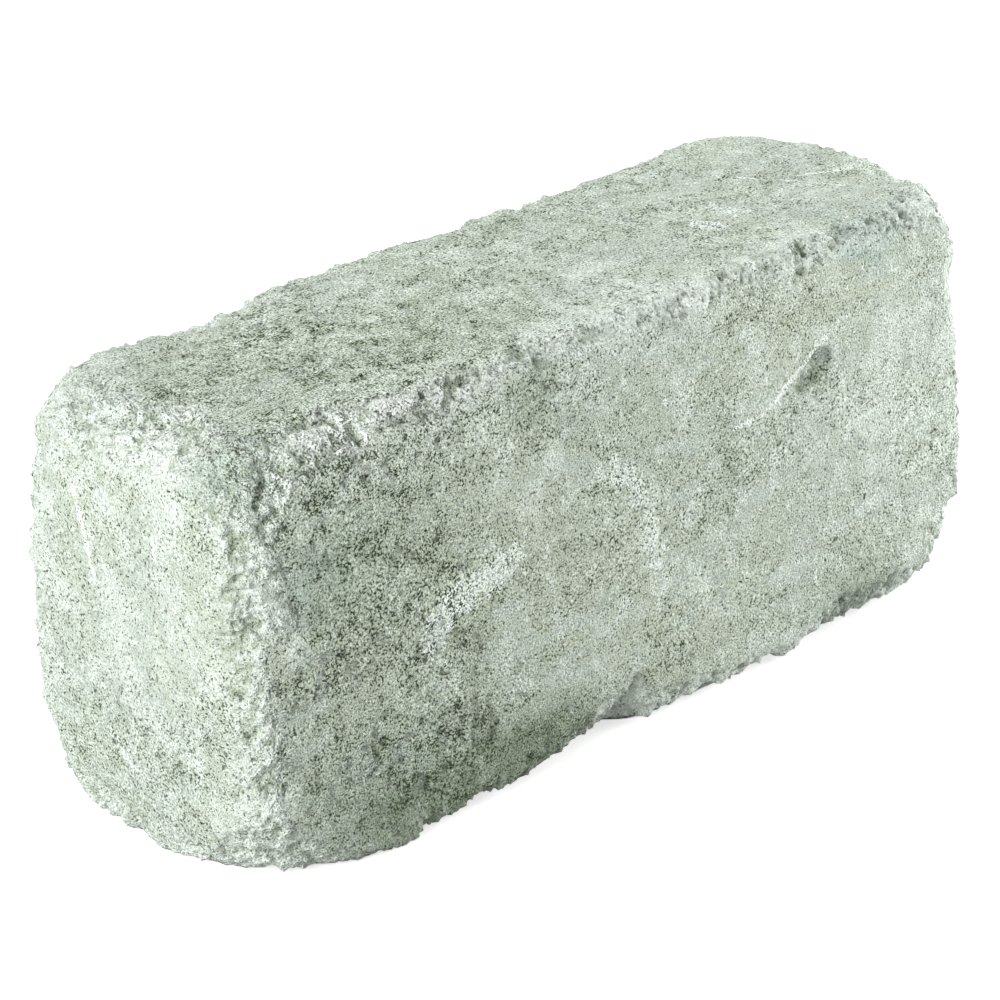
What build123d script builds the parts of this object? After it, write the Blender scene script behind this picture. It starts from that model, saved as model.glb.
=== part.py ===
from build123d import *
from math import cos, hypot, radians, sin, sqrt
import os

# A tumbled concrete paver: one block, cast with sharp arrises and then tumbled, which wore its arrises
# round, knocked off its corners and chipped it along its edges. It stands on one of its long narrow faces.
# Sizes are in millimetres. X runs along the block from its near end to its far end, Y from its front to
# its back, and Z up. The origin is the middle of the bed face, the face that it stands on.

# The block as it was cast
LENGTH = 304.8
WIDTH = 101.6
HEIGHT = 139.7

# How far the tumbling wore each face back from the sharp arris. The places are spaced evenly along the
# arris: from the near end on the long arrises, from the front on those across, from the bed upwards.
WEAR = {
    "front bed": (19, 14, 1, 0.5, 7, 7, 8, 9, 11, 9, 8.5, 9, 10, 13, 15, 17, 18),
    "front top": (18, 17, 14, 10, 9, 6, 7, 8, 6, 7, 5, 4, 6, 9, 8, 10, 13),
    "back bed": (13, 9, 8, 11, 10, 5, 6, 8, 9, 12, 11, 8, 7, 10, 9, 12, 14),
    "back top": (16, 11, 11, 11.5, 13, 6, 8, 6, 7, 7.5, 5, 9.5, 8.5, 7.5, 5, 7.5, 10),
    "near bed": (21, 20, 12, 5, 5.5, 9.5, 9, 10, 13),
    "near top": (21, 20, 19, 17, 18, 19, 17, 17, 15),
    "far bed": (15, 12, 9, 6, 7, 10, 9, 11, 13),
    "far top": (12, 13, 5.5, 5, 5, 3, 8, 10, 10),
    "near front": (17, 15, 14, 12, 13, 15, 16, 18, 20),
    "near back": (13, 14, 1.5, 2.5, 2, 4, 8, 10, 14),
    "far front": (14, 15, 5, 6, 8, 8, 11.5, 13, 12),
    "far back": (13, 9, 8, 11, 7, 6, 9, 12, 15),
}

# A worn arris is an arc across the corner. The centre of the arc is this many times the wear away from
# each face, so the arc is a little flatter than a quarter round and meets both faces at a faint edge.
ARC_CENTRE = 1.4

# How deep each corner is knocked off, measured from the sharp corner towards the middle of the block
CORNER_DEPTH = {
    "near front bed": 20,
    "near front top": 18,
    "near back bed": 14,
    "near back top": 15,
    "far front bed": 17,
    "far front top": 14,
    "far back bed": 14,
    "far back top": 15,
}

# The radius of a knocked-off corner, as a multiple of how deep it is
CORNER_ROUNDNESS = 4.2

# Flakes broken off the arrises: the arris, where the flake starts and ends along it, how far it bites below
# the worn arris at its start and at its end, how many degrees it leans towards the first side named, and
# how many degrees it is turned out of line with the arris
FLAKES = (
    ("front bed", 106, 150, 0.0, 8.5, 10, -8),
    ("front bed", 63, 78, 1.5, 0.3, 0, 14),
    ("front bed", 158, 176, 0.3, 1.0, -10, 10),
    ("front bed", 240, 268, 0.3, 2.0, 12, -16),
    ("near bed", 14, 34, 2.5, 1.0, 6, 20),
    ("near bed", 66, 84, 0.3, 1.5, -12, -14),
    ("front top", 24, 46, 0.5, 2.5, -8, 18),
    ("front top", 84, 109, 3.0, 0.5, 14, -20),
    ("front top", 181, 197, 0.3, 1.8, -6, 12),
    ("front top", 226, 250, 2.0, 0.3, 10, -12),
    ("near top", 26, 58, 2.0, 0.3, -10, 16),
    ("near front", 46, 74, 2.0, 0.3, 10, 22),
    ("near front", 96, 114, 1.5, 0.3, -14, -18),
    ("back top", 62, 80, 0.3, 1.8, 8, 15),
    ("back top", 196, 212, 1.5, 0.3, -8, -18),
    ("back bed", 84, 108, 3.0, 0.5, 10, 20),
    ("back bed", 200, 230, 0.5, 3.0, -6, -15),
    ("far back", 44, 68, 2.5, 0.5, 8, 18),
    ("far front", 64, 84, 0.3, 1.0, -8, -20),
    ("far top", 58, 76, 0.3, 1.8, 6, 14),
)

# Smaller flakes broken off all along the arrises: about how far apart they are, how far each one bites at its
# shallow end, and the most that it bites for each millimetre of wear
SPALL_PITCH = 28
SPALL_SHALLOW_BITE = 0.2
SPALL_MOST_BITE = 0.22

# The smaller flakes take these values in turn, so that few of them are alike: how far one lies from its even
# place, its length, its bite at its deeper end, its lean towards the first side named and its turn, in degrees
SPALL_SHIFTS = (-5, 3, 8, -2, 5, -8)
SPALL_LENGTHS = (14, 24, 11, 19, 16)
SPALL_BITES = (1.8, 2.8, 1.2, 2.0, 3.0, 1.5, 2.4)
SPALL_LEANS = (-22, 14, 4, -12, 26, -4, 18)
SPALL_TURNS = (16, -24, 9, -14)

# How far the ends of a flake slope outwards for each millimetre that they rise: at the deeper end, where it
# broke off in a step, and at the shallower end, where it ran out
STEP_SLOPE = 1.3
RUN_OUT_SLOPE = 3.0

# How far the cutting shapes stand out of the block
OVERRUN = 6

# Each side of the block: the direction out of it, and its distance from the origin
SIDES = {
    "near": (Vector(-1, 0, 0), LENGTH / 2),
    "far": (Vector(1, 0, 0), LENGTH / 2),
    "front": (Vector(0, -1, 0), WIDTH / 2),
    "back": (Vector(0, 1, 0), WIDTH / 2),
    "bed": (Vector(0, 0, -1), 0),
    "top": (Vector(0, 0, 1), HEIGHT),
}


def meeting_point(names):
    """The point where the named sides meet, in the middle of the block along the directions not named."""
    point = Vector(0, 0, HEIGHT / 2)
    for name in names.split():
        out, distance = SIDES[name]
        point = point - out * point.dot(out) + out * distance
    return point


def arris_line(names):
    """The sharp arris between two sides: its start, the direction along it, and its length."""
    first, second = (SIDES[name][0] for name in names.split())
    across = first.cross(second)
    along = Vector(abs(across.X), abs(across.Y), abs(across.Z))
    run = along.dot(Vector(LENGTH, WIDTH, HEIGHT))
    start = meeting_point(names) - along * (run / 2)
    return start, along, run


def arc_radius(wear):
    """The radius of the arc that crosses both faces at the wear from the sharp arris."""
    return hypot(wear * ARC_CENTRE, wear * ARC_CENTRE - wear)


def worn_depth(wear):
    """How far the middle of the worn arris lies below the sharp arris."""
    return wear * ARC_CENTRE * sqrt(2) - arc_radius(wear)


def waste_section(plane, wear):
    """What tumbling takes off at one place: the corner square, less the arc of the worn arris."""
    centre = wear * ARC_CENTRE
    near_face = centre - arc_radius(wear)
    middle = centre - arc_radius(wear) / sqrt(2)
    worn = ThreePointArc((centre, near_face), (middle, middle), (near_face, centre))
    outside = Polyline(
        (near_face, centre),
        (-OVERRUN, centre),
        (-OVERRUN, -OVERRUN),
        (centre, -OVERRUN),
        (centre, near_face),
    )
    return plane * make_face([worn, outside])


def arris_waste(names):
    """The length of concrete that tumbling takes off along one arris."""
    first, second = (SIDES[name][0] for name in names.split())
    start, along, run = arris_line(names)
    wears = WEAR[names]
    steps = len(wears) - 1
    stations = [run * i / steps for i in range(len(wears))]
    stations = [-OVERRUN] + stations[1:-1] + [run + OVERRUN]
    facing = first.cross(second)
    sections = []
    for station, wear in zip(stations, wears):
        plane = Plane(origin=start + along * station, x_dir=-first, z_dir=facing)
        sections.append(waste_section(plane, wear))
    return loft(sections, ruled=True)


def corner_waste(names):
    """The knob of concrete that is knocked off one corner, outside a ball set on the corner's diagonal."""
    depth = CORNER_DEPTH[names]
    radius = depth * CORNER_ROUNDNESS
    reach = (radius + depth) / sqrt(3)
    corner = meeting_point(names)
    outward = Vector(0, 0, 0)
    for name in names.split():
        outward = outward + SIDES[name][0]
    cube_middle = corner - outward * ((reach - OVERRUN) / 2)
    cube = Pos(*cube_middle) * Box(reach + OVERRUN, reach + OVERRUN, reach + OVERRUN)
    ball = Pos(*(corner - outward * reach)) * Sphere(radius)
    return cube - ball


def wear_at(names, distance):
    """The wear at a distance along an arris, between the places where it is given."""
    wears = WEAR[names]
    run = arris_line(names)[2]
    place = distance / run * (len(wears) - 1)
    before = min(int(place), len(wears) - 2)
    return wears[before] + (wears[before + 1] - wears[before]) * (place - before)


def flake(names, start, end, start_bite, end_bite, lean, turn):
    """The prism that breaks a flat flake off a worn arris, with a broken step at its deeper end."""
    origin, along, _ = arris_line(names)
    first, second = (SIDES[name][0] for name in names.split())
    outward = (first + second).normalized()
    middle = (start + end) / 2
    half = (end - start) / 2
    worn_point = origin + along * middle - outward * worn_depth(wear_at(names, middle))
    leaning = outward * cos(radians(lean)) + (first - second).normalized() * sin(radians(lean))
    turned = along * cos(radians(turn)) + leaning.cross(along) * sin(radians(turn))
    plane = Plane(origin=worn_point, x_dir=turned, z_dir=turned.cross(leaning))
    rise = worn_depth(max(WEAR[names])) + OVERRUN
    start_slope = STEP_SLOPE if start_bite > end_bite else RUN_OUT_SLOPE
    end_slope = STEP_SLOPE if end_bite > start_bite else RUN_OUT_SLOPE
    side = Polyline(
        (-half, -start_bite),
        (half, -end_bite),
        (half + (rise + end_bite) * end_slope, rise),
        (-half - (rise + start_bite) * start_slope, rise),
        (-half, -start_bite),
    )
    return extrude(plane * make_face(side), amount=max(WEAR[names]) * 2, both=True)


def spall(names, middle, number):
    """One of the smaller flakes: its size and slant follow from its number."""
    deepest = wear_at(names, middle) * SPALL_MOST_BITE
    bite = min(SPALL_BITES[number % len(SPALL_BITES)], deepest)
    bites = (SPALL_SHALLOW_BITE, bite)
    if number % 3 == 0:
        bites = (bite, SPALL_SHALLOW_BITE)
    half = SPALL_LENGTHS[number % len(SPALL_LENGTHS)] / 2
    lean = SPALL_LEANS[number % len(SPALL_LEANS)]
    turn = SPALL_TURNS[number % len(SPALL_TURNS)]
    return flake(names, middle - half, middle + half, *bites, lean, turn)


def spalls():
    """The smaller flakes, spread along every arris."""
    cutters = []
    for names in WEAR:
        run = arris_line(names)[2]
        count = round(run / SPALL_PITCH)
        for place in range(count):
            number = len(cutters)
            middle = run * (place + 0.5) / count + SPALL_SHIFTS[number % len(SPALL_SHIFTS)]
            cutters.append(spall(names, middle, number))
    return cutters


def paver():
    """The tumbled block, as one solid."""
    block = Pos(0, 0, HEIGHT / 2) * Box(LENGTH, WIDTH, HEIGHT)
    for names in WEAR:
        block = block - arris_waste(names)
    for names in CORNER_DEPTH:
        block = block - corner_waste(names)
    broken_off = [flake(*size_and_place) for size_and_place in FLAKES]
    return block - broken_off - spalls()


os.makedirs("parts", exist_ok=True)
export_step(paver().solid(), "parts/paver.step")
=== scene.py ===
import itertools
import math

import bpy
import numpy as np
from mathutils import Matrix, Vector


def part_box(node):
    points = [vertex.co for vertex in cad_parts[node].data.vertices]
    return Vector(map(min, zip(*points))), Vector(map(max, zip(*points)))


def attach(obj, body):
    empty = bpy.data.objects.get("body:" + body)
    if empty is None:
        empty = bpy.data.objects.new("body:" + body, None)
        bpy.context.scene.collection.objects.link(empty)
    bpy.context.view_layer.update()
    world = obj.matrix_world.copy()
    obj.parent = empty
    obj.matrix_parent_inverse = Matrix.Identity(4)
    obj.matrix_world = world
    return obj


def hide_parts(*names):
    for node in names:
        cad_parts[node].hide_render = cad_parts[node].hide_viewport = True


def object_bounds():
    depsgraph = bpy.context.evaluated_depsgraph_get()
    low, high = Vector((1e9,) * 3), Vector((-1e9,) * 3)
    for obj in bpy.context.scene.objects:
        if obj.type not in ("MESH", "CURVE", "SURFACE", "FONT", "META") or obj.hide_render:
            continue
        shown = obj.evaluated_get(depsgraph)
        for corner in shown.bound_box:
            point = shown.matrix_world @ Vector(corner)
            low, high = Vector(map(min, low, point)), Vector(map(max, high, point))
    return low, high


# The looks of a tumbled concrete paver. The block is one piece, modelled as a dense mesh that starts from
# the fixed frame and gets the relief of worn, open-textured concrete. Lengths are in millimetres, apart
# from those of the camera's place, the lamps and the floor, which are in metres, as the frame is.

MM = 0.001
NODE = "paver"

# Camera, from the photograph: where it looks from in degrees, how far it is from the middle of the block,
# how far it is moved to its right and up from there, and its sensor and lens in millimetres
CAMERA_AZIMUTH = -42.1
CAMERA_ELEVATION = 24.1
CAMERA_ROLL = -2.2
CAMERA_DISTANCE = 1.173
CAMERA_RIGHT = -0.0070
CAMERA_UP = -0.0055
SENSOR = 36.0
LENS = 135.8

# Lamps, square and turned to the block: the name, the place, the width, and the power in watts
LAMPS = (
    ("key", (-1.55, -0.3, 0.8), 0.9, 30),
    ("behind", (0.9, 0.9, 1.2), 0.8, 22),
    ("right", (0.9, -0.45, 0.25), 0.4, 9),
)

# The surround is white to the camera and this strong as a light. The floor is matt, with a glow that only
# the camera sees.
SURROUND_LIGHT = 0.10
FLOOR_HALF_WIDTH = 4.0
FLOOR_COLOUR = (0.72, 0.72, 0.72, 1)
FLOOR_GLOW = 0.68

# Mesh: how near to each other points are welded, the size of the even faces, how they are softened, and the
# most triangles that are left
WELD_DISTANCE = 0.01
VOXEL = 0.6
SOFTEN_FACTOR = 0.5
SOFTEN_STEPS = 16
MOST_TRIANGLES = 194000

# What stretches the noise to about -1 to 1: that of one octave, and that of several
NOISE_STRETCH = 1.7
FRACTAL_STRETCH = 1.4

# Relief. A size is that of the largest lumps of its noise, a depth is how far it goes, and an edge is the
# two levels of the noise between which it sets in. The waves are sunk by a share of their depth, and the
# crumbs by the level of noise that leaves them as high as the block. What is rough or worn is lifted, to
# make up for what its flakes and shards take off. The gain of a rough noise is how high each octave is
# beside the one before.
WAVE_SIZE, WAVE_DEPTH, WAVE_SINK = 48.0, 0.5, 0.4
FLAKE_SIZE, FLAKE_DEPTH, FLAKE_EDGE = 16.0, 0.6, (0.05, 0.2)
SHARD_SIZE, SHARD_DEPTH, SHARD_EDGE = 9.0, 0.9, (0.05, 0.25)
CRUMB_SIZE, CRUMB_DEPTH, CRUMB_LEVEL = 6.5, 2.1, 0.22
GRIT_SIZE, GRIT_DEPTH = 2.8, 0.6
HOLLOW_SIZE, HOLLOW_DEPTH, HOLLOW_EDGE = 8.0, 0.8, (0.2, 0.42)
GOUGE_DEPTH = 2.4
ROUGH_LIFT, WORN_LIFT = 0.5, 0.5
ROUGH_GAIN = 0.6

# Where the block is rough: where its surface lies deep enough below the sharp block, or near enough to an
# arris. The rim is a wider band along the arrises, and what is worn lies deeper. The first number of a pair
# is where a thing sets in, and the second is where it is full. Where a number follows the pair, a ragged
# noise moves it by about that much.
ROUGH_WEAR, RAGGED_WEAR = (0.2, 2.5), 1.5
ROUGH_REACH, RAGGED_REACH = (9.0, 1.0), 9.0
RIM_REACH, RAGGED_RIM = (16.0, 3.0), 4.5
WORN_WEAR = (0.5, 5.0)
RAGGED_SIZE = 18.0

# How open-textured the cast faces are outside the patches: on average, how far a drift takes it from there,
# and the size of the drift's lumps. The last value is the most that it may be anywhere.
OPEN_AVERAGE, OPEN_DRIFT, OPEN_DRIFT_SIZE = 0.35, 0.5, 30.0
MOST_OPEN = 1.3

# Where the concrete is more open-textured, darker, paler, warmer or bluer: the middle of a patch, measured
# from the origin, its radius, and how much more
OPEN_PATCHES = (
    ((-112, -50, 92), 30, 0.35),
    ((-105, -50, 50), 50, 0.5),
    ((-100, -50, 12), 40, 0.35),
    ((-60, -50, 12), 38, 0.55),
    ((-30, -50, 8), 22, 0.5),
    ((-60, -50, 75), 30, 0.2),
    ((-100, -20, 140), 60, 0.9),
    ((-40, 10, 140), 60, 0.5),
    ((50, 10, 140), 60, 0.4),
    ((-148, -45, 132), 22, 0.3),
    ((79, -50, 97), 9, 1.0),
    ((-152, 20, 20), 35, 0.2),
    ((-152, 0, 95), 50, -0.45),
    ((110, -50, 80), 50, -0.2),
)
# Painted shade: patches that darken the front face, most of all along its bottom, and in the gouge
SHADE_PATCHES = (
    ((-118, -50, 12), 26, 0.35),
    ((-92, -50, 4), 24, 1.0),
    ((-62, -50, 4), 26, 1.2),
    ((-34, -50, 4), 22, 1.2),
    ((-112, -50, 96), 22, 0.3),
    ((102, -50, 8), 20, 0.7),
    ((79, -50, 97), 8, 0.6),
    ((-42, -50, 128), 12, 0.5),
)
PALE_PATCHES = (
    ((-90, -46, 132), 20, 1.2),
    ((-60, -46, 134), 18, 1.1),
    ((-20, -46, 136), 16, 0.6),
    ((30, -46, 136), 18, 0.4),
    ((-146, -10, 134), 16, 0.8),
    ((-40, 10, 140), 60, 0.15),
    ((-112, -46, 132), 18, 1.1),
    ((125, -50, 85), 40, 0.25),
    ((-150, 10, 110), 45, 0.2),
)
WARM_PATCHES = (
    ((55, -50, 118), 28, 0.8),
    ((95, -50, 124), 22, 0.8),
    ((-152, 10, 112), 20, 0.7),
    ((30, -50, 30), 35, 0.5),
    ((-60, -50, 105), 40, 0.4),
    ((-20, -50, 60), 60, 0.6),
    ((-110, -50, 70), 50, 0.6),
)
BLUE_PATCHES = (
    ((-146, -38, 132), 17, 1.0),
    ((105, -50, 138), 18, 1.1),
    ((-125, -50, 95), 14, 0.6),
    ((-100, -50, 20), 25, 0.4),
)

# A patch fades out from the second to the first of these shares of its radius
PATCH_FADE = (1.3, 0.3)

# The faces that carry marks: the axis that points out of each, where 0 is X, and the places on that axis
# between which a thin scratch sets in
FACES = {
    "front": (1, (-45, -48)),
    "end": (0, (-146, -149)),
    "top": (2, (134, 137)),
}

# Marks on the faces: (face, points, half width, strength). On the front face a point is (x, z), on the near
# end (y, z), on the top (x, y), all measured from the origin.
PALE_MARKS = (
    ("front", ((-4, 120), (-10, 111), (-11, 97)), 1.6, 0.5),
    ("front", ((-12, 94), (-2, 86), (3, 76), (5, 66), (9, 55)), 3.2, 1.05),
    ("front", ((9, 55), (10, 42)), 2.4, 0.9),
    ("front", ((-83, 63), (-76, 70), (-65, 73), (-52, 77)), 4.2, 1.15),
    ("front", ((-83, 62), (-80, 54)), 2.6, 0.7),
    ("front", ((79, 32), (80, 21)), 0.9, 0.9),
    ("front", ((24, 122), (16, 112), (10, 102)), 1.4, 0.6),
    ("front", ((37, 110), (31, 101)), 1.3, 0.5),
    ("end", ((4, 95), (-2, 96)), 1.6, 0.9),
    ("end", ((-21, 47), (-26, 33)), 1.2, 0.8),
    ("end", ((16, 34), (5, 26)), 1.2, 0.8),
    ("top", ((68, -10), (72, -18)), 2.2, 1.0),
    ("top", ((83, -4), (84, -12)), 2.5, 0.8),
)
GOUGE = ("front", ((84, 101), (78, 98), (73, 94)), 1.9, 1.0)

# A mark sets in and is full at these multiples of its half width, and at these depths below its face
MARK_FADE = (2.2, 0.5)
MARK_DEPTH_FADE = (4.0, 2.0)

# Thin pale scratches, finer than the mesh: (face, start, end, half width), with points as above. A scratch
# is full inside a share of its half width.
SCRATCHES = (
    ("end", (25, 114), (22, 103), 1.0),
    ("end", (22, 103), (17.5, 84), 1.1),
    ("end", (-23.5, 120), (-23.5, 114), 0.7),
    ("end", (-11.5, 106), (-12, 99), 0.8),
    ("front", (84, 107), (69, 98), 1.2),
    ("front", (69, 98), (56, 90), 1.1),
    ("front", (56, 90), (42, 89), 1.0),
    ("top", (121, -4), (139, -12), 0.8),
    ("top", (108, 10), (124, -21), 0.7),
)
SCRATCH_CORE = 0.5

# Colours of the concrete
GREY = (0.55, 0.622, 0.545, 1)
WARM = (0.57, 0.622, 0.495, 1)
SMEAR = (0.55, 0.635, 0.56, 1)
# Olive is the tone of the open clumps, and is also laid between the crumbs of the arrises as painted shade
OLIVE = (0.33, 0.39, 0.28, 1)
# Painted shade: the olive laid into the darkened patches
SHADE_OLIVE = (0.16, 0.215, 0.125, 1)
# Pale is the film and the scuffs, and is also laid on the tops of the crumbs as a painted highlight; chalk is
# the scratches, and is also a painted highlight on the crests of the arrises in the pale patches
PALE = (0.80, 0.875, 0.80, 1)
CHALK = (0.92, 0.98, 0.92, 1)
BLUISH = (0.36, 0.49, 0.45, 1)
# Painted shade in the pores and the crevices
CAVITY_SHADE = (0.034, 0.053, 0.02, 1)

# Noises of the concrete: the size of the lumps, how much detail is added and how rough it is
NOISES = {
    "patches": (34.0, 4.0, 0.6),
    "blotches": (12.0, 5.0, 0.65),
    "clumps": (5.5, 3.0, 0.6),
    "crumbs": (3.4, 4.0, 0.62),
    "pores": (0.72, 1.0, 0.6),
    "grain": (0.5, 0.0, 0.5),
}
NOISE_MIDDLE = 0.5

# Smears of paste, whose noise is drawn out along the block and slants by some degrees
SMEAR_NOISE = (8.0, 4.0, 0.55)
SMEAR_SLANT = 12
SMEAR_SQUEEZE = (0.3, 1, 1)

# Smooth rises: the two levels of a noise, a mask or a difference between which each one goes, and the two
# strengths between which it goes there, where they aren't 0 and 1
SMEARED = (0.54, 0.63)
CLUMPED = (0.42, 0.60)
SPECKED = (-0.007, 0.014)
CREVICED = (-0.02, 0.04)
WARM_DRIFT = (0.4, 0.6, 0.0, 0.4)
BLUE_BLOTCHES = (0.35, 0.55)
PALE_FILM = (0.47, 0.66, 0.0, 0.6)
# A painted highlight: paler where the crumbs, which the bumps also raise, are high
CRUMB_HIGHLIGHT = (0.57, 0.64, 0.0, 0.5)
OLIVE_OPEN = (0.4, 1.1, 0.0, 0.3)
# Painted shade: how the blotches break up the darkened patches
SHADE_BLOTCHES = (0.3, 0.55, 0.4, 1.0)
HIGHLIT_RUBBLE = (-1.2, -0.2)
# A painted highlight on the arrises where the rubble and the clumps stand high, and painted shade where they
# lie low
HIGHLIT_CLUMPS = (0.36, 0.56, 0.4, 1.0)
SHADED_RUBBLE = (-1.0, -2.0, 0.0, 0.6)
SHADED_CLUMPS = (0.43, 0.32, 0.0, 0.6)
SCUFFED = (0.35, 1.05, 0.0, 0.95)
GRAIN_TONE = (0.2, 0.8, -0.3, 0.3)
PORE_TONE = (0.25, 0.75, -0.26, 0.26)

# How strongly a colour covers what is under it
WARM_COVER = 0.8
SMEAR_COVER = 0.7
CLUMP_COVER = 0.44
# How strongly the painted shade of the darkened patches covers
SHADE_COVER = 0.75
SCRATCH_COVER = 0.75
# How strongly the painted shade of the pores and crevices covers
CAVITY_SHADE_COVER = 0.95

# How much pale film is added in pale patches and near the arrises, how much grit there is everywhere and
# how much is added where the texture is open, and how far the crumbs move the edges of scuffs and scratches
FILM_IN_PALE, FILM_ON_RIM = 0.3, 0.09
GRIT_EVERYWHERE, GRIT_IN_OPEN = 0.65, 0.8
SCUFF_RAGGED, SCRATCH_RAGGED = 3.5, -4.0

# What is left of the painted highlight on the crests in bluish patches and in the patches of painted shade,
# and of grit and the painted shade of cavities on the arrises
CREST_IN_BLUE, CREST_IN_SHADE = 0.35, 0.25
GRIT_ON_ARRIS, CAVITIES_ON_ARRIS = 0.6, 0.75

# How much of the clumps shows even where the cast faces are close
CLUMPS_EVERYWHERE = 0.15

# How low the noise has to be for a speck or a crevice, how much higher it may be in clumps, how much lower
# for specks in smears, and how dark a crevice is beside a speck. Specks and crevices are painted shade in
# the pores and between the crumbs. On the arrises the shift is taken off the level of the specks and added
# to that of the crevices.
SPECK_LEVEL, SPECKS_IN_CLUMP, SPECKS_IN_SMEAR = 0.34, 0.09, 0.06
CREVICE_LEVEL, CREVICES_IN_CLUMP, CREVICE_DARKNESS = 0.312, 0.06, 0.8
ARRIS_SHIFT = 0.03

# How high the bumps stand and how deep the cavities are: on the cast faces, and how much more on the arrises
GRAIN_BUMP = 0.35
PORE_BUMP = 0.55
CAVITY_BUMP = 0.35
CRUMB_BUMP, ARRIS_CRUMB_BUMP = 1.0, 0.9
CLUMP_BUMP, ARRIS_CLUMP_BUMP = 0.6, 2.4

# Gloss of the concrete, which is next to none
ROUGHNESS = 0.92
SPECULAR = 0.3


def lattice(cells, table):
    """A number from 0 to 255 for each whole-numbered cell."""
    step = table[cells[:, 0] & 255]
    step = table[(step + cells[:, 1]) & 255]
    return table[(step + cells[:, 2]) & 255]


def smooth_noise(points, size, seed):
    """Smooth noise of about -1 to 1, with lumps of the given size."""
    rng = np.random.default_rng(seed)
    table = rng.permutation(256)
    slopes = rng.normal(size=(256, 3))
    slopes /= np.linalg.norm(slopes, axis=1, keepdims=True)
    base = np.floor(points / size)
    part = points / size - base
    base = base.astype(int)
    fade = part**3 * (part * (part * 6 - 15) + 10)
    total = np.zeros(len(points))
    for corner in itertools.product((0, 1), repeat=3):
        slope = slopes[lattice(base + corner, table)]
        height = ((part - corner) * slope).sum(axis=1)
        weight = np.where(corner, fade, 1 - fade).prod(axis=1)
        total += height * weight
    return total * NOISE_STRETCH


def fractal_noise(points, size, octaves, seed, gain=0.5):
    """Smooth noise with finer noise added, each octave half the size of the one before."""
    total = np.zeros(len(points))
    height, most = 1.0, 0.0
    for octave in range(octaves):
        total += height * smooth_noise(points, size / 2**octave, seed + octave)
        most += height
        height *= gain
    return total / most * FRACTAL_STRETCH


def smooth_step(start, full, value):
    """0 before start, 1 past full, and a smooth rise between."""
    t = np.clip((value - start) / (full - start), 0, 1)
    return t * t * (3 - 2 * t)


def face_distances(points, low, high):
    """How far each point lies inside the nearest face of the box, and inside the next nearest."""
    away = np.hstack([points - low, high - points])
    away.sort(axis=1)
    return away[:, 0], away[:, 1]


def line_distance(points, route):
    """The distance from each point of a plane to a route of straight runs."""
    nearest = np.full(len(points), np.inf)
    for start, end in zip(route, route[1:]):
        start, end = np.array(start, float), np.array(end, float)
        run = end - start
        share = np.clip((points - start) @ run / (run @ run), 0, 1)
        nearest = np.minimum(nearest, np.linalg.norm(points - start - share[:, None] * run, axis=1))
    return nearest


def mark(points, low, high, face, route, half_width, strength):
    """How strongly a mark shows at each point: full along its route, and fading out to its sides."""
    out, _ = FACES[face]
    flat = [axis for axis in range(3) if axis != out]
    depth = high[out] - points[:, out] if face == "top" else points[:, out] - low[out]
    across = smooth_step(*MARK_FADE, line_distance(points[:, flat], route) / half_width)
    return strength * across * smooth_step(*MARK_DEPTH_FADE, depth)


def roughness_share(points, low, high):
    """How rough, how worn and how near to an arris each point is, from 0 on the faces to 1 on the arrises."""
    depth, next_depth = face_distances(points, low, high)
    ragged = fractal_noise(points, RAGGED_SIZE, octaves=4, seed=40, gain=ROUGH_GAIN)
    by_wear = smooth_step(*ROUGH_WEAR, depth + RAGGED_WEAR * ragged)
    by_reach = smooth_step(*ROUGH_REACH, next_depth - RAGGED_REACH * ragged)
    rim = smooth_step(*RIM_REACH, next_depth - RAGGED_RIM * ragged)
    return np.maximum(by_wear, by_reach), smooth_step(*WORN_WEAR, depth), rim


def patch_share(points, patches):
    """How far each point lies in any of some soft round patches."""
    total = np.zeros(len(points))
    for centre, radius, strength in patches:
        away = np.linalg.norm(points - np.array(centre, float), axis=1) / radius
        total += strength * smooth_step(*PATCH_FADE, away)
    return total


def open_share(points):
    """How open-textured the cast faces are, from 0 where they are close to about 1."""
    drift = fractal_noise(points, OPEN_DRIFT_SIZE, octaves=3, seed=51)
    return np.clip(OPEN_AVERAGE + OPEN_DRIFT * drift + patch_share(points, OPEN_PATCHES), 0, MOST_OPEN)


def rubble(points):
    """The height of the broken concrete of the arrises: flaked in layers, and crumbly on top of that."""
    flakes = fractal_noise(points, FLAKE_SIZE, octaves=4, seed=31, gain=ROUGH_GAIN)
    flakes = FLAKE_DEPTH * smooth_step(*FLAKE_EDGE, flakes)
    shards = fractal_noise(points, SHARD_SIZE, octaves=3, seed=35, gain=ROUGH_GAIN)
    shards = SHARD_DEPTH * smooth_step(*SHARD_EDGE, shards)
    crumbs = fractal_noise(points, CRUMB_SIZE, octaves=3, seed=21, gain=ROUGH_GAIN)
    crumbs = CRUMB_DEPTH * (np.abs(crumbs) - CRUMB_LEVEL)
    return crumbs + GRIT_DEPTH * smooth_noise(points, GRIT_SIZE, seed=61) - flakes - shards


def relief(points, low, high):
    """How high the concrete stands over the smooth block at each point."""
    rough, worn, _ = roughness_share(points, low, high)
    waves = WAVE_DEPTH * (fractal_noise(points, WAVE_SIZE, octaves=3, seed=1) - WAVE_SINK)
    hollows = fractal_noise(points, HOLLOW_SIZE, octaves=4, seed=13, gain=ROUGH_GAIN)
    hollows = -HOLLOW_DEPTH * smooth_step(*HOLLOW_EDGE, hollows) * open_share(points)
    broken = rough * (rubble(points) + ROUGH_LIFT)
    gouge = -GOUGE_DEPTH * mark(points, low, high, *GOUGE)
    return waves + broken + worn * WORN_LIFT + hollows * (1 - rough) + gouge


def read_points(mesh, what="co"):
    """A mesh's points, or another vector of its vertices, as an array."""
    values = np.empty(len(mesh.vertices) * 3)
    mesh.vertices.foreach_get(what, values)
    return values.reshape(-1, 3)


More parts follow.
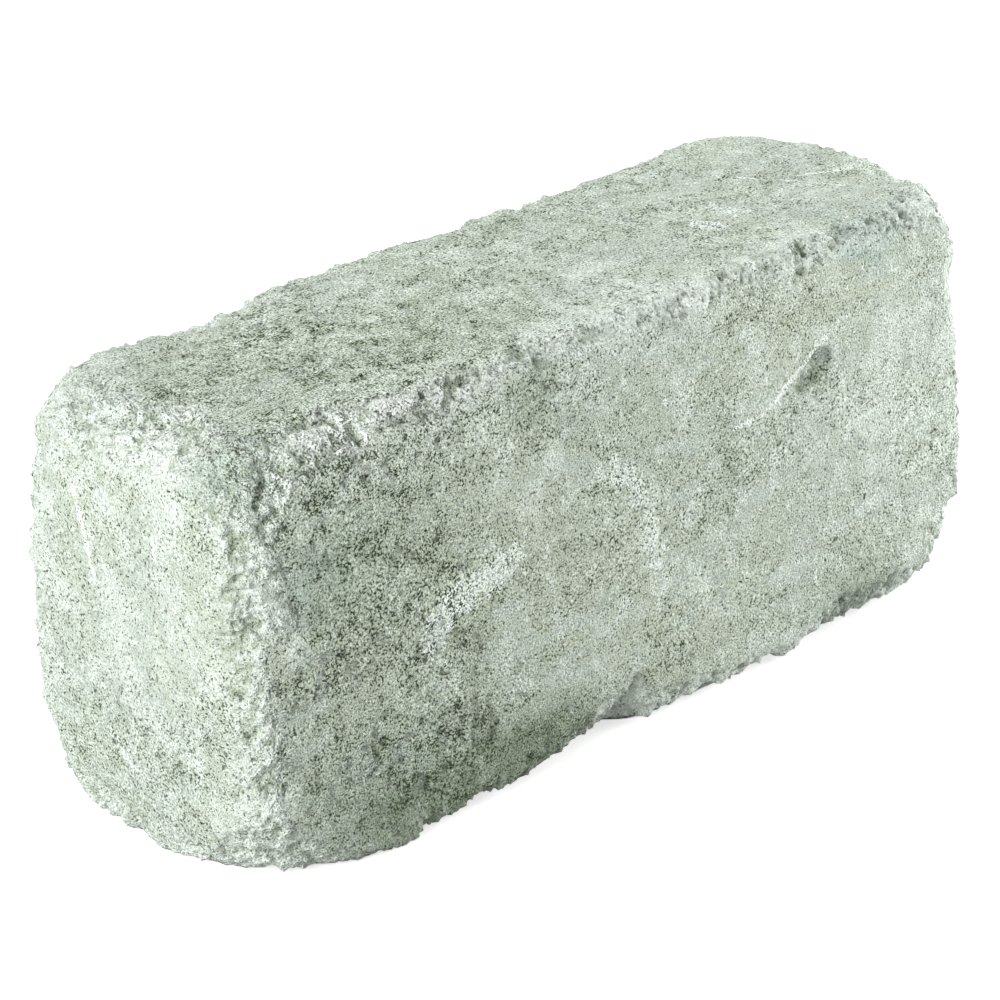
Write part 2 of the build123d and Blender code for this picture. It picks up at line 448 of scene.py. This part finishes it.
def apply_modifiers(piece):
    """Makes what the modifiers show the piece's own mesh."""
    graph = bpy.context.evaluated_depsgraph_get()
    mesh = bpy.data.meshes.new_from_object(piece.evaluated_get(graph))
    piece.modifiers.clear()
    piece.data = mesh


def smooth_block():
    """A closed mesh of even faces in the shape of the frame's block."""
    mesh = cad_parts[NODE].data.copy()
    block = bpy.data.objects.new("concrete_block", mesh)
    bpy.context.scene.collection.objects.link(block)
    weld = block.modifiers.new("weld", "WELD")
    weld.merge_threshold = WELD_DISTANCE * MM
    remesh = block.modifiers.new("remesh", "REMESH")
    remesh.mode = "VOXEL"
    remesh.voxel_size = VOXEL * MM
    soften = block.modifiers.new("soften", "SMOOTH")
    soften.factor = SOFTEN_FACTOR
    soften.iterations = SOFTEN_STEPS
    apply_modifiers(block)
    return block


def roughen(block, low, high):
    """Moves the block's points out to the relief, and keeps them inside the box."""
    points = read_points(block.data) / MM
    normals = read_points(block.data, "normal")
    height = relief(points, low, high)
    points = np.clip(points + normals * height[:, None], low, high)
    block.data.vertices.foreach_set("co", (points * MM).ravel())
    block.data.update()


def thin_out(block, low, high):
    """Brings the mesh down to at most MOST_TRIANGLES triangles, and keeps it inside the box."""
    triangles = 2 * len(block.data.polygons)
    if triangles > MOST_TRIANGLES:
        fewer = block.modifiers.new("fewer", "DECIMATE")
        fewer.ratio = MOST_TRIANGLES / triangles
        apply_modifiers(block)
    points = np.clip(read_points(block.data) / MM, low, high)
    block.data.vertices.foreach_set("co", (points * MM).ravel())


def paint_masks(block, low, high):
    """Stores what the material needs to know at each point, such as how rough and how scuffed it is."""
    points = read_points(block.data) / MM
    rough, _, rim = roughness_share(points, low, high)
    scuffs = np.zeros(len(points))
    for pale_mark in PALE_MARKS:
        scuffs = np.maximum(scuffs, mark(points, low, high, *pale_mark))
    masks = {
        "rough": rough,
        "rim": rim,
        "broken": rubble(points),
        "scuffs": scuffs,
        "open": open_share(points),
        # Where shade is painted in patches
        "painted_shade": patch_share(points, SHADE_PATCHES),
        "pale": patch_share(points, PALE_PATCHES),
        "warm": patch_share(points, WARM_PATCHES),
        "blue": patch_share(points, BLUE_PATCHES),
    }
    for name, values in masks.items():
        layer = block.data.attributes.new(name, "FLOAT", "POINT")
        layer.data.foreach_set("value", values)


def concrete_block():
    """The paver, as one dense mesh."""
    low, high = (np.array(corner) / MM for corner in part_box(NODE))
    block = smooth_block()
    roughen(block, low, high)
    thin_out(block, low, high)
    paint_masks(block, low, high)
    block.data.shade_smooth()
    block.data.materials.clear()
    block.data.materials.append(concrete())
    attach(block, "root")
    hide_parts(NODE)


class Shader:
    """A material's nodes, made with short calls."""

    def __init__(self, name):
        self.material = bpy.data.materials.new(name)
        self.material.use_nodes = True
        self.tree = self.material.node_tree
        self.tree.nodes.clear()

    def node(self, kind, settings=None, **inputs):
        """A node of a kind, with its settings, and its inputs linked or set."""
        node = self.tree.nodes.new(kind)
        for key, value in (settings or {}).items():
            setattr(node, key, value)
        for key, value in inputs.items():
            self.put(node.inputs[key.replace("_", " ")], value)
        return node

    def put(self, socket, value):
        """Links a socket to another node's output, or sets it."""
        if isinstance(value, bpy.types.NodeSocket):
            self.tree.links.new(value, socket)
        else:
            socket.default_value = value

    def attribute(self, name):
        """What the mesh holds at each point under a name."""
        return self.node("ShaderNodeAttribute", {"attribute_name": name}).outputs["Fac"]

    def noise(self, place, size, detail, roughness):
        """Noise from 0 to 1 with lumps of the given size."""
        settings = {"Scale": 1 / size, "Detail": detail, "Roughness": roughness}
        return self.node("ShaderNodeTexNoise", Vector=place, **settings).outputs["Fac"]

    def math(self, operation, first, second, clamp=False):
        """What an operation makes of two numbers, held between 0 and 1 if it is clamped."""
        node = self.node("ShaderNodeMath", {"operation": operation, "use_clamp": clamp})
        self.put(node.inputs[0], first)
        self.put(node.inputs[1], second)
        return node.outputs[0]

    def add(self, first, second):
        """One number and another."""
        return self.math("ADD", first, second)

    def less(self, first, second):
        """One number less another."""
        return self.math("SUBTRACT", first, second)

    def times(self, first, second):
        """One number times another."""
        return self.math("MULTIPLY", first, second)

    def most(self, first, second):
        """The greater of two numbers."""
        return self.math("MAXIMUM", first, second)

    def rise(self, value, low, high, start=0.0, end=1.0):
        """A smooth rise from start to end, as the value goes from low to high."""
        node = self.node("ShaderNodeMapRange", {"interpolation_type": "SMOOTHSTEP"}, Value=value)
        for socket, number in zip(("From Min", "From Max", "To Min", "To Max"), (low, high, start, end)):
            node.inputs[socket].default_value = number
        return node.outputs["Result"]

    def fall(self, share, end):
        """A smooth fall from 1 to end, as the share goes from 0 to 1."""
        return self.rise(share, 0.0, 1.0, 1.0, end)

    def mix(self, share, first, second, blend="MIX"):
        """One colour turning into another, or being blended with it, as the share goes from 0 to 1."""
        node = self.node("ShaderNodeMix", {"data_type": "RGBA", "blend_type": blend})
        self.put(node.inputs["Factor"], share)
        self.put(node.inputs[6], first)
        self.put(node.inputs[7], second)
        return node.outputs[2]

    def vector(self, operation, first, second=None, scale=None):
        """The vector that an operation makes of one or two vectors, or of a vector and a scale."""
        node = self.node("ShaderNodeVectorMath", {"operation": operation})
        self.put(node.inputs[0], first)
        if second is not None:
            self.put(node.inputs[1], second)
        if scale is not None:
            self.put(node.inputs["Scale"], scale)
        return node.outputs[0]

    def measure(self, operation, first, second):
        """The number that an operation makes of two vectors."""
        node = self.node("ShaderNodeVectorMath", {"operation": operation})
        self.put(node.inputs[0], first)
        self.put(node.inputs[1], second)
        return node.outputs["Value"]

    def distance(self, place, start, end):
        """The distance from a place to the straight line between two points."""
        run = Vector(end) - Vector(start)
        away = self.vector("SUBTRACT", place, start)
        share = self.math("DIVIDE", self.measure("DOT_PRODUCT", away, run), run.length_squared, clamp=True)
        return self.measure("DISTANCE", away, self.vector("SCALE", run, scale=share))


def smears(s, place):
    """How far each place is smeared with paste, which only the cast faces are."""
    drawn_out = s.node(
        "ShaderNodeMapping",
        Vector=place,
        Rotation=(0, math.radians(SMEAR_SLANT), 0),
        Scale=SMEAR_SQUEEZE,
    )
    smear = s.rise(s.noise(drawn_out.outputs[0], *SMEAR_NOISE), *SMEARED)
    return s.times(smear, s.math("SUBTRACT", 1.0, s.attribute("rough"), clamp=True))


def open_clumps(s, noise, smear):
    """Clumps of open texture, between the smears."""
    clump = s.times(s.rise(noise["clumps"], *CLUMPED), s.add(CLUMPS_EVERYWHERE, s.attribute("open")))
    return s.times(clump, s.less(1.0, smear))


def shaded_cavities(s, noise, smear, clump):
    """Painted shade in the pores and in the crevices between crumbs, which gather in the clumps of open
    texture.
    """
    shift = s.times(s.attribute("rough"), ARRIS_SHIFT)
    level = s.less(s.times(clump, SPECKS_IN_CLUMP), s.times(smear, SPECKS_IN_SMEAR))
    level = s.add(s.less(level, shift), SPECK_LEVEL)
    specks = s.rise(s.less(level, noise["pores"]), *SPECKED)
    level = s.add(s.add(s.times(clump, CREVICES_IN_CLUMP), shift), CREVICE_LEVEL)
    crevices = s.rise(s.less(level, noise["crumbs"]), *CREVICED)
    cavities = s.most(specks, s.times(crevices, CREVICE_DARKNESS))
    return s.times(cavities, s.fall(s.attribute("rough"), CAVITIES_ON_ARRIS))


def cast_colour(s, noise, smear, clump):
    """The cast faces: grey-green with patches, smears, a pale film in blotches, olive clumps, a painted
    highlight on the tops of the crumbs, and painted shade in dark patches.
    """
    colour = s.mix(s.rise(noise["patches"], *WARM_DRIFT), GREY, WARM)
    colour = s.mix(s.times(s.attribute("warm"), WARM_COVER), colour, WARM)
    colour = s.mix(s.times(s.attribute("blue"), s.rise(noise["blotches"], *BLUE_BLOTCHES)), colour, BLUISH)
    colour = s.mix(s.times(smear, SMEAR_COVER), colour, SMEAR)
    film = s.add(noise["blotches"], s.times(s.attribute("pale"), FILM_IN_PALE))
    film = s.add(film, s.times(s.attribute("rim"), FILM_ON_RIM))
    colour = s.mix(s.rise(film, *PALE_FILM), colour, PALE)
    # A painted highlight on the tops of the crumbs
    colour = s.mix(s.rise(noise["crumbs"], *CRUMB_HIGHLIGHT), colour, PALE)
    colour = s.mix(s.times(clump, CLUMP_COVER), colour, OLIVE)
    colour = s.mix(s.rise(s.attribute("open"), *OLIVE_OPEN), colour, OLIVE)
    # Painted shade in the darkened patches, broken up by blotches
    blotches = s.rise(noise["blotches"], *SHADE_BLOTCHES)
    painted_shade = s.math("MULTIPLY", s.attribute("painted_shade"), blotches, clamp=True)
    return s.mix(s.times(painted_shade, SHADE_COVER), colour, SHADE_OLIVE)


def arris_colour(s, noise, colour):
    """A colour with the broken arrises laid over it: a pale painted highlight where their crumbs are high,
    and olive painted shade between.
    """
    # The painted highlight, where the rubble stands high
    high = s.times(s.attribute("rough"), s.rise(s.attribute("broken"), *HIGHLIT_RUBBLE))
    high = s.times(high, s.fall(s.attribute("blue"), CREST_IN_BLUE))
    high = s.times(high, s.fall(s.attribute("painted_shade"), CREST_IN_SHADE))
    # The highlight is pale, or chalk in the pale patches
    crest_highlight = s.mix(s.attribute("pale"), PALE, CHALK)
    colour = s.mix(s.times(high, s.rise(noise["clumps"], *HIGHLIT_CLUMPS)), colour, crest_highlight)
    # Painted shade where the rubble or the clumps lie low
    hollow_shade = s.most(s.rise(s.attribute("broken"), *SHADED_RUBBLE), s.rise(noise["clumps"], *SHADED_CLUMPS))
    return s.mix(s.times(s.attribute("rough"), hollow_shade), colour, OLIVE)


def scratched(s, place, ragged):
    """1 on the thin scratches and 0 off them, with an edge that the ragged noise moves."""
    parts = s.node("ShaderNodeSeparateXYZ", Vector=place).outputs
    shown = 0.0
    for face, start, end, half_width in SCRATCHES:
        out, fade = FACES[face]
        flat = [0 if axis == out else 1 for axis in range(3)]
        start, end = list(start), list(end)
        start.insert(out, 0)
        end.insert(out, 0)
        away = s.distance(s.vector("MULTIPLY", place, flat), start, end)
        on_line = s.rise(s.add(away, ragged), half_width, half_width * SCRATCH_CORE)
        on_face = s.rise(parts[out], *fade)
        shown = s.most(shown, s.times(on_line, on_face))
    return shown


def marked_colour(s, noise, place, colour):
    """A colour with the pale scuffs and scratches over it, whose edges the crumbs make ragged."""
    ragged = s.less(noise["crumbs"], NOISE_MIDDLE)
    scuffs = s.add(s.attribute("scuffs"), s.times(ragged, SCUFF_RAGGED))
    colour = s.mix(s.rise(scuffs, *SCUFFED), colour, PALE)
    thin_marks = scratched(s, place, s.times(ragged, SCRATCH_RAGGED))
    return s.mix(s.times(thin_marks, SCRATCH_COVER), colour, CHALK)


def gritty_colour(s, noise, colour):
    """A colour that the finest grains make darker and paler, most of all where the texture is open."""
    grit = s.add(s.rise(noise["grain"], *GRAIN_TONE), s.rise(noise["pores"], *PORE_TONE))
    grit = s.times(grit, s.add(s.times(s.attribute("open"), GRIT_IN_OPEN), GRIT_EVERYWHERE))
    grit = s.times(grit, s.fall(s.attribute("rough"), GRIT_ON_ARRIS))
    tone = s.add(grit, 1.0)
    tone = s.node("ShaderNodeCombineColor", Red=tone, Green=tone, Blue=tone).outputs[0]
    return s.mix(1.0, colour, tone, "MULTIPLY")


def bumps(s, noise, cavities):
    """The normal of the fine relief, which is too fine for the mesh."""
    rough = s.attribute("rough")
    crumb_height = s.add(CRUMB_BUMP, s.times(rough, ARRIS_CRUMB_BUMP))
    clump_height = s.add(CLUMP_BUMP, s.times(rough, ARRIS_CLUMP_BUMP))
    height = s.times(noise["grain"], GRAIN_BUMP)
    height = s.add(height, s.times(noise["pores"], PORE_BUMP))
    height = s.add(height, s.times(noise["crumbs"], crumb_height))
    height = s.add(height, s.times(noise["clumps"], clump_height))
    height = s.less(height, s.times(cavities, CAVITY_BUMP))
    return s.node("ShaderNodeBump", Height=height, Strength=1.0, Distance=MM).outputs[0]


def concrete():
    """Pale grey-green concrete: soft patches, smears of paste, pale scuffs, crumbs with painted highlights,
    and painted shade in the cavities and dark patches.
    """
    s = Shader("tumbled_concrete")
    place = s.vector("SCALE", s.node("ShaderNodeTexCoord").outputs["Object"], scale=1 / MM)
    noise = {name: s.noise(place, *settings) for name, settings in NOISES.items()}
    smear = smears(s, place)
    clump = open_clumps(s, noise, smear)
    cavities = shaded_cavities(s, noise, smear, clump)
    colour = cast_colour(s, noise, smear, clump)
    colour = arris_colour(s, noise, colour)
    colour = marked_colour(s, noise, place, colour)
    colour = gritty_colour(s, noise, colour)
    # Painted shade in the pores and crevices
    colour = s.mix(s.times(cavities, CAVITY_SHADE_COVER), colour, CAVITY_SHADE)
    normal = bumps(s, noise, cavities)
    surface = s.node("ShaderNodeBsdfPrincipled", Base_Color=colour, Roughness=ROUGHNESS, Normal=normal)
    surface.inputs["Specular IOR Level"].default_value = SPECULAR
    s.node("ShaderNodeOutputMaterial", Surface=surface.outputs[0])
    return s.material


def make_camera(middle):
    """The camera, at the photograph's viewing angle."""
    azimuth = math.radians(CAMERA_AZIMUTH)
    elevation = math.radians(CAMERA_ELEVATION)
    roll = math.radians(CAMERA_ROLL)
    back = Vector((
        math.sin(azimuth) * math.cos(elevation),
        -math.cos(azimuth) * math.cos(elevation),
        math.sin(elevation),
    ))
    level = Vector((math.cos(azimuth), math.sin(azimuth), 0))
    upright = back.cross(level)
    right = level * math.cos(roll) + upright * math.sin(roll)
    up = upright * math.cos(roll) - level * math.sin(roll)
    data = bpy.data.cameras.new("camera")
    data.sensor_width = SENSOR
    data.lens = LENS
    camera = bpy.data.objects.new("camera", data)
    eye = middle + back * CAMERA_DISTANCE + right * CAMERA_RIGHT + up * CAMERA_UP
    camera.matrix_world = Matrix.Translation(eye) @ Matrix((right, up, back)).transposed().to_4x4()
    bpy.context.scene.collection.objects.link(camera)
    bpy.context.scene.camera = camera


def make_lamps(target):
    """Soft square lamps, turned to a target."""
    for name, place, width, watts in LAMPS:
        data = bpy.data.lights.new(name, "AREA")
        data.size = width
        data.energy = watts
        lamp = bpy.data.objects.new(name, data)
        lamp.location = place
        lamp.rotation_euler = (Vector(target) - Vector(place)).to_track_quat("-Z", "Y").to_euler()
        bpy.context.scene.collection.objects.link(lamp)


def make_world():
    """A white surround for the camera, and a dimmer even light for the block."""
    world = bpy.data.worlds.new("surround")
    bpy.context.scene.world = world
    world.use_nodes = True
    tree = world.node_tree
    path = tree.nodes.new("ShaderNodeLightPath")
    seen = tree.nodes.new("ShaderNodeMath")
    seen.operation = "MAXIMUM"
    tree.links.new(path.outputs["Is Camera Ray"], seen.inputs[0])
    tree.links.new(path.outputs["Is Glossy Ray"], seen.inputs[1])
    strength = tree.nodes.new("ShaderNodeMapRange")
    strength.inputs["To Min"].default_value = SURROUND_LIGHT
    strength.inputs["To Max"].default_value = 1.0
    tree.links.new(seen.outputs[0], strength.inputs["Value"])
    tree.links.new(strength.outputs[0], tree.nodes["Background"].inputs["Strength"])
    tree.nodes["Background"].inputs["Color"].default_value = (1, 1, 1, 1)


def floor_material():
    """A matt grey that shows white in the open and keeps the block's soft shadow."""
    s = Shader("floor")
    path = s.node("ShaderNodeLightPath")
    matt = s.node("ShaderNodeBsdfDiffuse", Color=FLOOR_COLOUR)
    glow = s.node("ShaderNodeEmission", Strength=s.times(path.outputs["Is Camera Ray"], FLOOR_GLOW))
    both = s.node("ShaderNodeAddShader")
    s.put(both.inputs[0], matt.outputs[0])
    s.put(both.inputs[1], glow.outputs[0])
    s.node("ShaderNodeOutputMaterial", Surface=both.outputs[0])
    return s.material


def make_floor():
    """A plain pale floor."""
    half = FLOOR_HALF_WIDTH
    corners = [(-half, -half, 0), (half, -half, 0), (half, half, 0), (-half, half, 0)]
    mesh = bpy.data.meshes.new("floor")
    mesh.from_pydata(corners, [], [(0, 1, 2, 3)])
    mesh.materials.append(floor_material())
    floor = bpy.data.objects.new("floor", mesh)
    bpy.context.scene.collection.objects.link(floor)


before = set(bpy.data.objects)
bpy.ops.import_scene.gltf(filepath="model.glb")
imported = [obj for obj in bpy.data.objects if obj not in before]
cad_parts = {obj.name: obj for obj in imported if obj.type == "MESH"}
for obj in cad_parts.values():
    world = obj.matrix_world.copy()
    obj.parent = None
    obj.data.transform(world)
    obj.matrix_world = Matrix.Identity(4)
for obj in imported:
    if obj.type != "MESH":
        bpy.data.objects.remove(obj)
cad_low, cad_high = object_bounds()
middle = (cad_low + cad_high) / 2
bpy.context.scene.view_settings.view_transform = "Standard"
concrete_block()
make_camera(middle)
make_lamps(middle)
make_world()
make_floor()
